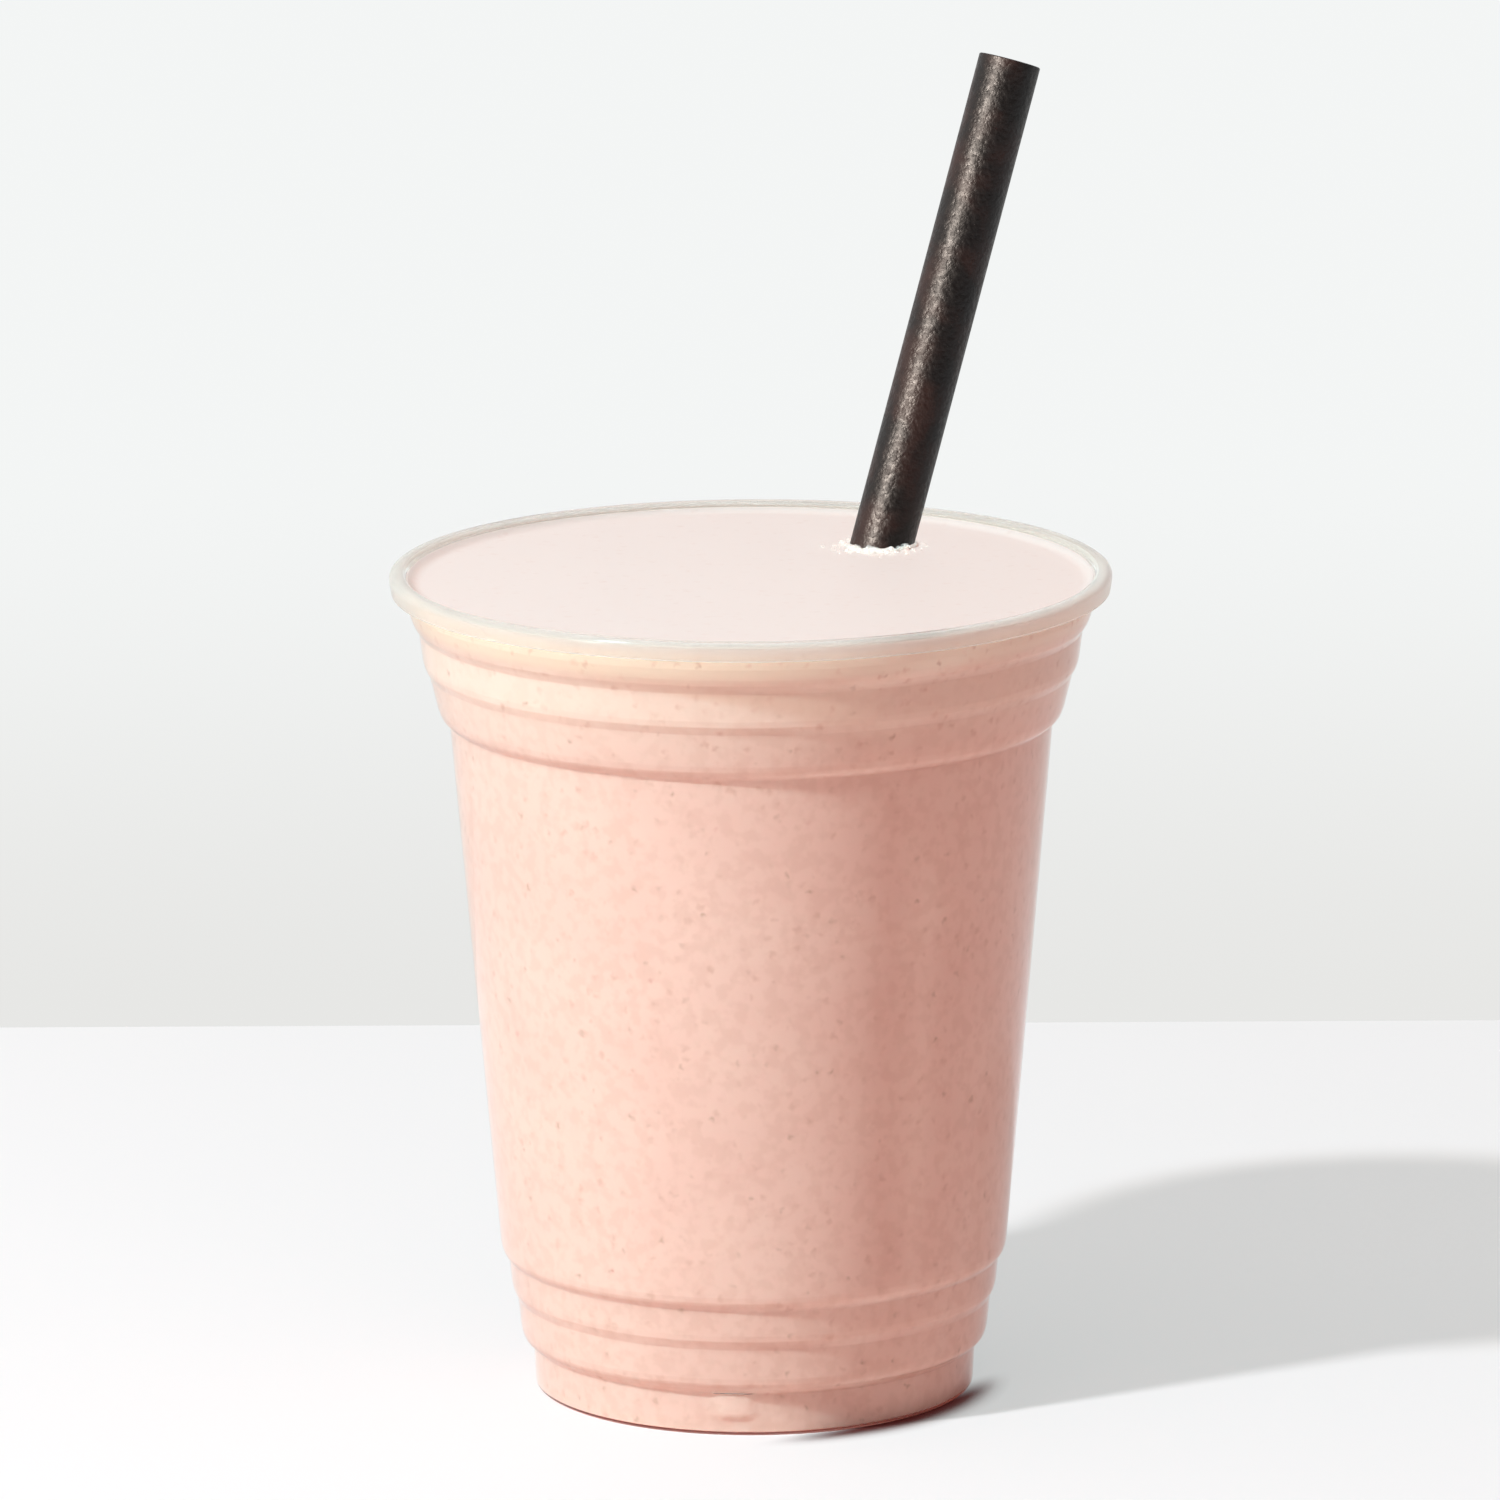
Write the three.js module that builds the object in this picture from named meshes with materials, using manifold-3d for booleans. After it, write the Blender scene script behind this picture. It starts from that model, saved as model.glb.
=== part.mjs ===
// A strawberry milkshake in a clear disposable cup, with a wide black drinking straw standing in it.
// Millimetres, +Z up. The origin is on the cup's axis, in the plane that its foot ring stands on.
// The front of the drink is towards -Y.

import * as THREE from 'three';
import { mergeVertices } from 'three/addons/utils/BufferGeometryUtils.js';
import Module from 'manifold-3d';

const wasm = await Module();
wasm.setup();

// Driving sizes of the cup, all measured on the outside of its sheet.
const CUP_HEIGHT = 113.5;
const SHEET = 0.6;
const LIP_RADIUS = 49.1;
const LIP_WIDTH = 2.1;
const LIP_DROP = 2.5;
const LIP_LEAN = 0.3;
const FOOT_OUTER_RADIUS = 29.95;
const FOOT_RING_WIDTH = 3.3;
const PUNT_RISE = 3.4;
const PUNT_SLOPE_WIDTH = 1.8;

// Each band of the wall runs from its lower edge up to its upper edge. A short step joins it to the next.
// The names go up the cup: the foot band, two lower bands, the plain body, three neck bands and the wall
// inside the curled lip.
const BANDS = [
  { name: 'foot', low: 0.0, lowRadius: FOOT_OUTER_RADIUS, high: 5.7, highRadius: 30.25 },
  { name: 'lower one', low: 7.0, lowRadius: 31.85, high: 12.3, highRadius: 32.35 },
  { name: 'lower two', low: 13.3, lowRadius: 33.05, high: 18.0, highRadius: 33.5 },
  { name: 'body', low: 19.0, lowRadius: 34.55, high: 92.9, highRadius: 41.0 },
  { name: 'neck one', low: 93.9, lowRadius: 42.25, high: 99.5, highRadius: 43.65 },
  { name: 'neck two', low: 100.5, lowRadius: 44.45, high: 105.4, highRadius: 45.0 },
  { name: 'neck three', low: 106.4, lowRadius: 45.75, high: 109.2, highRadius: 46.6 },
  { name: 'lip wall', low: 109.9, lowRadius: 46.7, high: CUP_HEIGHT - SHEET, highRadius: LIP_RADIUS - LIP_WIDTH },
];

// Small stacking lugs stand out of the foot band, right under the first step. LUG_PROFILE is the side view of
// one, as distances from the axis and heights. Its inner side lies inside the sheet.
const LUG_COUNT = 3;
const LUG_WIDTH = 5.4;
const LUG_AZIMUTH = THREE.MathUtils.degToRad(-95.5);
const LUG_PROFILE = [
  [29.75, 2.0],
  [30.9, 2.1],
  [31.3, 2.7],
  [31.55, 6.5],
  [31.45, 6.85],
  [30.05, 5.75],
];
const STEP_ROUNDING = 0.6;
const FOOT_ROUNDING = 0.7;
const LIP_ROUNDING = 0.9;

// The drink fills the cup almost to the lip.
const DRINK_LEVEL = 112.0;
const GAP = 0.3;
const DRINK_EDGE_ROUNDING = 0.3;

// The straw leans to the right and back. It crosses the drink's surface at STRAW_ENTRY and stands just clear
// of the cup's floor. STRAW_SHOWN is its length above the drink.
const STRAW_OUTER_RADIUS = 4.3;
const STRAW_WALL = 0.45;
const STRAW_ENTRY = new THREE.Vector3(18.0, 22.9, DRINK_LEVEL);
const STRAW_TILT = THREE.MathUtils.degToRad(19.2);
const STRAW_AZIMUTH = THREE.MathUtils.degToRad(37.6);
const STRAW_SHOWN = 68.8;

// How finely the round forms are faceted.
const CUP_SEGMENTS = 36;
const STRAW_SEGMENTS = 20;
const ROUNDING_STEPS = 2;

// The corners of the sheet's outer side, from the axis under the cup, up the wall and over into the curled lip.
// A corner is a point with the radius that rounds it off.
function sheetCorners() {
  const corner = (radius, height, rounding) => ({ at: new THREE.Vector2(radius, height), rounding });
  const footInner = FOOT_OUTER_RADIUS - FOOT_RING_WIDTH;
  const corners = [
    corner(0, PUNT_RISE, 0),
    corner(footInner - PUNT_SLOPE_WIDTH, PUNT_RISE, STEP_ROUNDING),
    corner(footInner, 0, FOOT_ROUNDING),
  ];
  for (const band of BANDS) {
    const first = band.low === 0;
    const last = band.high === CUP_HEIGHT - SHEET;
    corners.push(corner(band.lowRadius, band.low, first ? FOOT_ROUNDING : STEP_ROUNDING));
    corners.push(corner(band.highRadius, band.high, last ? LIP_ROUNDING : STEP_ROUNDING));
  }
  const skirt = LIP_RADIUS - SHEET;
  corners.push(corner(skirt, CUP_HEIGHT - SHEET, LIP_ROUNDING));
  corners.push(corner(skirt - LIP_LEAN, CUP_HEIGHT - LIP_DROP, 0));
  return corners;
}

// Moves every corner to the left of the way that the corners run, so that the new line keeps
// the distance to the old one. The roundings stay on the same centres.
function offsetCorners(corners, distance) {
  const leftOf = (a, b) => new THREE.Vector2(a.y - b.y, b.x - a.x).normalize();
  return corners.map(({ at, rounding }, i) => {
    const before = i > 0 ? leftOf(corners[i - 1].at, at) : null;
    const after = i < corners.length - 1 ? leftOf(at, corners[i + 1].at) : null;
    const left = (before ?? after).clone().add(after ?? before).normalize();
    const reach = distance / left.dot(before ?? after);
    const turnsLeft = before && after ? before.cross(after) > 0 : false;
    const newRounding = rounding + (turnsLeft ? -distance : distance);
    return { at: at.clone().addScaledVector(left, reach), rounding: rounding ? Math.max(newRounding, 0.1) : 0 };
  });
}

// Draws the line through the corners, with each corner rounded off, and returns its points.
function roundedLine(corners) {
  const path = new THREE.Path();
  path.moveTo(corners[0].at.x, corners[0].at.y);
  for (let i = 1; i < corners.length - 1; i++) {
    const { at, rounding } = corners[i];
    const toLast = corners[i - 1].at.clone().sub(at);
    const toNext = corners[i + 1].at.clone().sub(at);
    const halfTurn = (Math.PI - Math.abs(toLast.angleTo(toNext))) / 2;
    const longest = Math.min(toLast.length(), toNext.length()) * 0.45;
    const cut = Math.min(rounding * Math.tan(halfTurn), longest);
    const start = at.clone().addScaledVector(toLast.normalize(), cut);
    const end = at.clone().addScaledVector(toNext.normalize(), cut);
    path.lineTo(start.x, start.y);
    path.quadraticCurveTo(at.x, at.y, end.x, end.y);
  }
  const last = corners[corners.length - 1].at;
  path.lineTo(last.x, last.y);
  return path.getPoints(ROUNDING_STEPS);
}

// Turns an outline about the cup's axis, with +Z up.
function turned(points, segments) {
  return new THREE.LatheGeometry(points, segments).rotateX(Math.PI / 2);
}

// The cup is one sheet of even thickness. Its two sides start on the axis and meet at the lip's free edge.
function cupGeometry() {
  const outside = sheetCorners();
  const inside = offsetCorners(outside, SHEET);
  inside[0].at.x = 0;
  const points = [...roundedLine(outside), ...roundedLine(inside).reverse()];
  return turned(points, CUP_SEGMENTS);
}

// One lug, turned to its place round the foot. Its profile is extruded across its width.
function lug(azimuth) {
  const outline = new THREE.Shape(LUG_PROFILE.map(([radius, height]) => new THREE.Vector2(radius, height)));
  const settings = { depth: LUG_WIDTH, bevelEnabled: false };
  const block = new THREE.ExtrudeGeometry(outline, settings).translate(0, 0, -LUG_WIDTH / 2);
  return block.rotateX(Math.PI / 2).rotateZ(azimuth);
}

// The drink follows the inside of the cup up to its level.
function drinkGeometry() {
  const wetCorners = offsetCorners(sheetCorners(), SHEET + GAP).slice(0, -3);
  wetCorners[0].at.x = 0;
  const rim = wetCorners[wetCorners.length - 1].at;
  const neck = BANDS[BANDS.length - 1];
  const slope = (neck.highRadius - neck.lowRadius) / (neck.high - neck.low);
  const rimRadius = rim.x + slope * (DRINK_LEVEL - rim.y);
  wetCorners.push({ at: new THREE.Vector2(rimRadius, DRINK_LEVEL), rounding: DRINK_EDGE_ROUNDING });
  wetCorners.push({ at: new THREE.Vector2(0, DRINK_LEVEL), rounding: 0 });
  return turned(roundedLine(wetCorners), CUP_SEGMENTS);
}

// The straw's lean as a direction of length 1, from its foot to its mouth.
function strawDirection() {
  return new THREE.Vector3(
    Math.sin(STRAW_TILT) * Math.cos(STRAW_AZIMUTH),
    Math.sin(STRAW_TILT) * Math.sin(STRAW_AZIMUTH),
    Math.cos(STRAW_TILT),
  );
}

// Its foot stops just above the floor, on the lower side of its square-cut end.
function strawFoot() {
  const floor = PUNT_RISE + SHEET + GAP;
  const footHeight = floor + STRAW_OUTER_RADIUS * Math.sin(STRAW_TILT);
  const direction = strawDirection();
  return STRAW_ENTRY.clone().addScaledVector(direction, (footHeight - STRAW_ENTRY.z) / direction.z);
}

// A straight tube along the straw's lean, from a distance along its axis to another.
function strawTube(outerRadius, innerRadius, from, to) {
  const section = [
    new THREE.Vector2(innerRadius, from),
    new THREE.Vector2(outerRadius, from),
    new THREE.Vector2(outerRadius, to),
    new THREE.Vector2(innerRadius, to),
    new THREE.Vector2(innerRadius, from),
  ];
  const lean = new THREE.Quaternion().setFromUnitVectors(new THREE.Vector3(0, 0, 1), strawDirection());
  const foot = strawFoot();
  return turned(section, STRAW_SEGMENTS).applyQuaternion(lean).translate(foot.x, foot.y, foot.z);
}

// Cuts one closed shape out of another.
function cutOut(geometry, tool) {
  return geometryOf(solidOf(geometry).subtract(solidOf(tool)));
}

// Joins closed shapes into one.
function joined(geometry, additions) {
  return geometryOf(additions.reduce((solid, addition) => solid.add(solidOf(addition)), solidOf(geometry)));
}

function geometryOf(solid) {
  const mesh = solid.getMesh();
  const result = new THREE.BufferGeometry();
  result.setAttribute('position', new THREE.BufferAttribute(mesh.vertProperties, 3));
  result.setIndex(new THREE.BufferAttribute(mesh.triVerts, 1));
  result.computeVertexNormals();
  return result;
}

function solidOf(geometry) {
  const bare = geometry.clone();
  bare.deleteAttribute('normal');
  bare.deleteAttribute('uv');
  const merged = mergeVertices(bare, 1e-4);
  return new wasm.Manifold(new wasm.Mesh({
    numProp: 3,
    vertProperties: new Float32Array(merged.attributes.position.array),
    triVerts: new Uint32Array(merged.index.array),
  }));
}

function part(name, geometry, colour, roughness) {
  const material = new THREE.MeshStandardMaterial({ color: colour, roughness, metalness: 0 });
  const mesh = new THREE.Mesh(geometry, material);
  mesh.name = name;
  return mesh;
}

const foot = strawFoot();
const strawLength = foot.distanceTo(STRAW_ENTRY) + STRAW_SHOWN;
const boreRadius = STRAW_OUTER_RADIUS - STRAW_WALL;
const straw = strawTube(STRAW_OUTER_RADIUS, boreRadius, 0, strawLength);
// The drink stands round the straw and inside its bore, so only the straw's own wall is cut from it.
const strawSlot = strawTube(STRAW_OUTER_RADIUS + GAP, boreRadius - GAP, -GAP, strawLength);

const lugs = Array.from({ length: LUG_COUNT }, (_, i) => lug(LUG_AZIMUTH + (i * 2 * Math.PI) / LUG_COUNT));
const cup = joined(cupGeometry(), lugs);

const group = new THREE.Group();
group.add(part('cup', cup, '#e6ebe6', 0.08));
group.add(part('milkshake', cutOut(drinkGeometry(), strawSlot), '#f3c9ba', 0.4));
group.add(part('straw', straw, '#201c1b', 0.45));

export default group;
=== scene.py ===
"""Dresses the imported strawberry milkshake: a clear disposable cup, the drink in it and its black straw.

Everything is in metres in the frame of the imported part: +Z up, the origin under the cup's axis on the
table, and the front of the drink towards -Y. Sizes of the forms are written in millimetres.
"""

import logging
import math
import random
from dataclasses import dataclass, field
from enum import Enum

import bpy
from mathutils import Matrix, Vector

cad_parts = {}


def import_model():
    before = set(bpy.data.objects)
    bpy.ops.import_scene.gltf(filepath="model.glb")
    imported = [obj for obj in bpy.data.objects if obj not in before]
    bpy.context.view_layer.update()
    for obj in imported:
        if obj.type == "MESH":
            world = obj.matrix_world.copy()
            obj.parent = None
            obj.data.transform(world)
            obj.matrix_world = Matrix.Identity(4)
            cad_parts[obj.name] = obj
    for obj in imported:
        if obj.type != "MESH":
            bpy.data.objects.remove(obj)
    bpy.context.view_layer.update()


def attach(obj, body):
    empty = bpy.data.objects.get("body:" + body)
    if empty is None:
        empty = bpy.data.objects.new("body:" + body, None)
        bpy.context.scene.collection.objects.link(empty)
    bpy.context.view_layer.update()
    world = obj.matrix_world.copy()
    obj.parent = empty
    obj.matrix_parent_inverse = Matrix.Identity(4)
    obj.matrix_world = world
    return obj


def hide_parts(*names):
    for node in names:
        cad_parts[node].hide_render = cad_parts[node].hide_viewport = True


LOG = logging.getLogger("milkshake")
MM = 0.001
TINY = 1e-6
Colour = tuple[float, float, float]


def deselect_everything() -> None:
    """Leaves edit mode and deselects every object."""
    if bpy.context.object is not None and bpy.context.object.mode != "OBJECT":
        bpy.ops.object.mode_set(mode="OBJECT")
    bpy.ops.object.select_all(action="DESELECT")


def activate(piece: bpy.types.Object) -> None:
    """Makes one object the only selected and active one.

    Args:
        piece: the object to work on next.
    """
    deselect_everything()
    piece.select_set(True)
    bpy.context.view_layer.objects.active = piece


def apply_place(piece: bpy.types.Object) -> None:
    """Bakes an object's place, turn and scale into its mesh."""
    activate(piece)
    bpy.ops.object.transform_apply(location=True, rotation=True, scale=True)


def join(pieces: list[bpy.types.Object], name: str) -> bpy.types.Object:
    """Joins meshes into one object at the origin.

    Args:
        pieces: the meshes to join.
        name: the joined object's name.

    Returns:
        The joined object.
    """
    deselect_everything()
    for piece in pieces:
        piece.select_set(True)
    bpy.context.view_layer.objects.active = pieces[0]
    bpy.ops.object.join()
    joined = bpy.context.object
    joined.name = name
    joined.data.name = name
    return joined


@dataclass(frozen=True)
class Corner:
    """A corner of a profile, in millimetres from the axis and above the table.

    Args:
        radius: distance from the axis.
        height: height above the table.
        rounding: radius that rounds the corner off, 0 for a sharp one.
    """

    radius: float
    height: float
    rounding: float = 0.0

    @property
    def at(self) -> Vector:
        """The corner as a point of the profile."""
        return Vector((self.radius, self.height))


@dataclass(frozen=True)
class Band:
    """One band of the cup's wall, from its lower edge to its upper edge, in millimetres."""

    low: float
    low_radius: float
    high: float
    high_radius: float


@dataclass
class Profile:
    """A line through rounded corners, which is turned about the cup's axis.

    Args:
        corners: the line's corners, in order.
        least_rounding: the smallest radius of a rounded corner beside the line, in millimetres.
        longest_cut: the most that a rounding takes of a side, as a share of the side.
    """

    corners: list[Corner]
    least_rounding: float = 0.1
    longest_cut: float = 0.45

    def beside(self, distance: float) -> "Profile":
        """The profile at an even distance to the left of this one.

        Args:
            distance: how far to the left, in millimetres.

        Returns:
            The new profile, rounded about the same centres.
        """
        moved = []
        last = len(self.corners) - 1
        for i, corner in enumerate(self.corners):
            before = self._left(i - 1, i) if i > 0 else None
            after = self._left(i, i + 1) if i < last else None
            left = ((before or after) + (after or before)).normalized()
            place = corner.at + left * (distance / left.dot(before or after))
            turns_left = before is not None and after is not None and before.cross(after) > 0
            rounding = corner.rounding + (-distance if turns_left else distance)
            kept = max(rounding, self.least_rounding) if corner.rounding else 0.0
            moved.append(Corner(place.x, place.y, kept))
        moved[0] = Corner(0.0, moved[0].height)
        return Profile(moved)

    def points(self, steps: int) -> list[Vector]:
        """The line's points, with each corner rounded off.

        Args:
            steps: how many pieces a rounding has.

        Returns:
            Points as (radius, height) in millimetres.
        """
        line = [self.corners[0].at]
        for last, corner, following in zip(self.corners, self.corners[1:], self.corners[2:]):
            back, on = last.at - corner.at, following.at - corner.at
            half_turn = (math.pi - back.angle(on)) / 2
            longest = self.longest_cut * min(back.length, on.length)
            cut = min(corner.rounding * math.tan(half_turn), longest)
            start = corner.at + back.normalized() * cut
            end = corner.at + on.normalized() * cut
            for step in range(steps + 1 if cut > 0 else 1):
                t = step / steps
                line.append(start * (1 - t) ** 2 + corner.at * 2 * t * (1 - t) + end * t**2)
        line.append(self.corners[-1].at)
        return line

    def _left(self, first: int, second: int) -> Vector:
        """The direction to the left of the way from one corner to another."""
        way = (self.corners[second].at - self.corners[first].at).normalized()
        return Vector((-way.y, way.x))


@dataclass
class Turning:
    """Models a round piece by drawing one ring of edges along a profile.

    Args:
        name: the new object's name.
        segments: how many edges the ring has.
        smooth_up_to: the sharpest edge that is shaded smooth, in degrees.
    """

    name: str
    segments: int = 256
    smooth_up_to: float = 40.0

    def model(self, points: list[Vector], joined: bool = False) -> bpy.types.Object:
        """Draws the ring from the first point to the last.

        Args:
            points: the profile as (radius, height) in millimetres.
            joined: whether the last ring meets the first. Otherwise both ends are filled at the axis.

        Returns:
            The turned mesh, with smooth shading and its normals outwards.
        """
        deselect_everything()
        rings = [point for point in points if point.x > TINY]
        first = rings[0]
        bpy.ops.mesh.primitive_circle_add(
            vertices=self.segments, radius=first.x * MM, fill_type="NOTHING", location=(0, 0, first.y * MM)
        )
        piece = bpy.context.object
        piece.name = piece.data.name = self.name
        apply_place(piece)
        bpy.ops.object.mode_set(mode="EDIT")
        bpy.ops.mesh.select_all(action="SELECT")
        if not joined:
            bpy.ops.mesh.edge_face_add()
        for here, there in zip(rings, rings[1:]):
            self._draw(here, there)
        if not joined:
            bpy.ops.mesh.edge_face_add()
        bpy.ops.mesh.select_all(action="SELECT")
        bpy.ops.mesh.remove_doubles(threshold=TINY)
        bpy.ops.mesh.normals_make_consistent(inside=False)
        bpy.ops.object.mode_set(mode="OBJECT")
        bpy.ops.object.shade_smooth_by_angle(angle=math.radians(self.smooth_up_to))
        return piece

    @staticmethod
    def _draw(here: Vector, there: Vector) -> None:
        """Extrudes the selected ring and resizes it to the next point of the profile.

        Args:
            here: the point that the selected ring is at.
            there: the next point.
        """
        bpy.ops.mesh.extrude_edges_move(
            TRANSFORM_OT_translate={"value": (0, 0, (there.y - here.y) * MM)}
        )
        grow = there.x / here.x
        bpy.ops.transform.resize(value=(grow, grow, 1), center_override=(0, 0, there.y * MM))


class Nodes:
    """Short ways to add and link the nodes of one tree."""

    def __init__(self, tree: bpy.types.NodeTree) -> None:
        """Takes the tree to work on."""
        self.tree = tree

    def add(self, kind: str, **settings: object) -> bpy.types.Node:
        """Adds a node.

        Args:
            kind: the node's type, such as "ShaderNodeMix".
            settings: properties to set on it.

        Returns:
            The new node.
        """
        node = self.tree.nodes.new(kind)
        for name, value in settings.items():
            setattr(node, name, value)
        return node

    def link(self, source: bpy.types.NodeSocket, target: bpy.types.NodeSocket) -> None:
        """Links an output to an input."""
        self.tree.links.new(source, target)

    def place_on_piece(self) -> bpy.types.NodeSocket:
        """The place on the piece, in metres."""
        return self.add("ShaderNodeTexCoord").outputs["Object"]

    def noise(self, place: bpy.types.NodeSocket, scale: float, detail: float = 3.0) -> bpy.types.NodeSocket:
        """Soft noise from 0 to 1.

        Args:
            place: the coordinates that it follows.
            scale: patches in each metre.
            detail: octaves of finer noise on top.

        Returns:
            The noise as a value.
        """
        node = self.add("ShaderNodeTexNoise")
        node.inputs["Scale"].default_value = scale
        node.inputs["Detail"].default_value = detail
        self.link(place, node.inputs["Vector"])
        return node.outputs["Fac"]

    def between(
        self, value: bpy.types.NodeSocket, low: float, high: float, to_low: float = 0.0, to_high: float = 1.0
    ) -> bpy.types.NodeSocket:
        """Maps a value smoothly from one range to another.

        Args:
            value: the value to map.
            low: where the old range starts.
            high: where the old range ends.
            to_low: what low becomes.
            to_high: what high becomes.

        Returns:
            The mapped value, held inside the new range.
        """
        node = self.add("ShaderNodeMapRange", interpolation_type="SMOOTHSTEP")
        for name, number in (("From Min", low), ("From Max", high), ("To Min", to_low), ("To Max", to_high)):
            node.inputs[name].default_value = number
        self.link(value, node.inputs["Value"])
        return node.outputs["Result"]

    def times(
        self, first: bpy.types.NodeSocket, second: bpy.types.NodeSocket | float
    ) -> bpy.types.NodeSocket:
        """The product of a value and another value or number.

        Args:
            first: a value.
            second: another value, or a number.

        Returns:
            The product as a value.
        """
        node = self.add("ShaderNodeMath", operation="MULTIPLY")
        self.link(first, node.inputs[0])
        if isinstance(second, float):
            node.inputs[1].default_value = second
        else:
            self.link(second, node.inputs[1])
        return node.outputs[0]

    def blend(
        self,
        share: bpy.types.NodeSocket,
        first: bpy.types.NodeSocket | Colour,
        second: bpy.types.NodeSocket | Colour,
    ) -> bpy.types.NodeSocket:
        """Blends two colours.

        Args:
            share: how much of the second shows, from 0 to 1.
            first: a colour or a colour output.
            second: a colour or a colour output.

        Returns:
            The blended colour.
        """
        node = self.add("ShaderNodeMix", data_type="RGBA")
        self.link(share, node.inputs["Factor"])
        for socket, colour in ((node.inputs[6], first), (node.inputs[7], second)):
            if isinstance(colour, tuple):
                socket.default_value = (*colour, 1.0)
            else:
                self.link(colour, socket)
        return node.outputs[2]

    def bump(self, height: bpy.types.NodeSocket, strength: float, depth: float) -> bpy.types.NodeSocket:
        """A normal that shows a height.

        Args:
            height: the height, from 0 to 1.
            strength: how much of it shows.
            depth: how deep a height of 1 is, in metres.

        Returns:
            The bent normal.
        """
        node = self.add("ShaderNodeBump")
        node.inputs["Strength"].default_value = strength
        node.inputs["Distance"].default_value = depth
        self.link(height, node.inputs["Height"])
        return node.outputs["Normal"]


def speckle_group() -> bpy.types.NodeTree:
    """The node group that scatters small round specks, built once and used for seeds, pulp and grain.

    Returns:
        A group with the inputs Vector, Scale, Size and Share and the output Mask.
    """
    name = "scattered specks"
    if name in bpy.data.node_groups:
        return bpy.data.node_groups[name]
    wobble, wobble_scale, faintest = 0.9 * MM, 1300.0, 0.35
    tree = bpy.data.node_groups.new(name, "ShaderNodeTree")
    tree.interface.new_socket("Vector", in_out="INPUT", socket_type="NodeSocketVector")
    for socket in ("Scale", "Size", "Share"):
        tree.interface.new_socket(socket, in_out="INPUT", socket_type="NodeSocketFloat")
    tree.interface.new_socket("Mask", in_out="OUTPUT", socket_type="NodeSocketFloat")
    nodes = Nodes(tree)
    given = nodes.add("NodeGroupInput").outputs
    shift = nodes.add("ShaderNodeTexNoise")
    shift.inputs["Scale"].default_value = wobble_scale
    shift.inputs["Detail"].default_value = 0.0
    nodes.link(given["Vector"], shift.inputs["Vector"])
    uneven = nodes.add("ShaderNodeVectorMath", operation="MULTIPLY_ADD")
    uneven.inputs[1].default_value = (wobble,) * 3
    nodes.link(shift.outputs["Color"], uneven.inputs[0])
    nodes.link(given["Vector"], uneven.inputs[2])
    cells = nodes.add("ShaderNodeTexVoronoi")
    nodes.link(uneven.outputs[0], cells.inputs["Vector"])
    nodes.link(given["Scale"], cells.inputs["Scale"])
    inside = nodes.add("ShaderNodeMapRange", interpolation_type="SMOOTHSTEP")
    nodes.link(cells.outputs["Distance"], inside.inputs["Value"])
    nodes.link(given["Size"], inside.inputs["From Max"])
    inside.inputs["To Min"].default_value = 1.0
    inside.inputs["To Max"].default_value = 0.0
    draw = nodes.add("ShaderNodeSeparateColor")
    nodes.link(cells.outputs["Color"], draw.inputs["Color"])
    chosen = nodes.add("ShaderNodeMath", operation="LESS_THAN")
    nodes.link(draw.outputs[0], chosen.inputs[0])
    nodes.link(given["Share"], chosen.inputs[1])
    mask = nodes.times(inside.outputs["Result"], chosen.outputs[0])
    strength = nodes.times(mask, nodes.between(draw.outputs[1], 0.0, 1.0, faintest, 1.0))
    nodes.link(strength, nodes.add("NodeGroupOutput").inputs["Mask"])
    return tree


class Speck(Enum):
    """The kinds of speck in the drink: (cells in each metre, size in its cell, share of cells, colour)."""

    PULP = (430.0, 0.34, 0.9, (0.72, 0.39, 0.31))
    SEED = (290.0, 0.2, 0.7, (0.58, 0.30, 0.22))
    SKIN = (150.0, 0.1, 0.4, (0.62, 0.19, 0.15))


def scatter(
    nodes: Nodes, place: bpy.types.NodeSocket, scale: float, size: float, share: float
) -> bpy.types.NodeSocket:
    """Places the speck group in a material.

    Args:
        nodes: the material's nodes.
        place: the coordinates that the specks follow.
        scale: cells in each metre.
        size: a speck's radius as a share of its cell.
        share: the share of the cells that hold a speck.

    Returns:
        The mask of the specks.
    """
    group = nodes.add("ShaderNodeGroup", node_tree=speckle_group())
    nodes.link(place, group.inputs["Vector"])
    group.inputs["Scale"].default_value = scale
    group.inputs["Size"].default_value = size
    group.inputs["Share"].default_value = share
    return group.outputs["Mask"]


def new_material(name: str) -> tuple[bpy.types.Material, Nodes, bpy.types.Node]:
    """A material with an empty node tree but for its main shader.

    Args:
        name: the material's name.

    Returns:
        The material, its nodes and its Principled BSDF.
    """
    material = bpy.data.materials.new(name)
    material.use_nodes = True
    return material, Nodes(material.node_tree), material.node_tree.nodes["Principled BSDF"]


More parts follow.
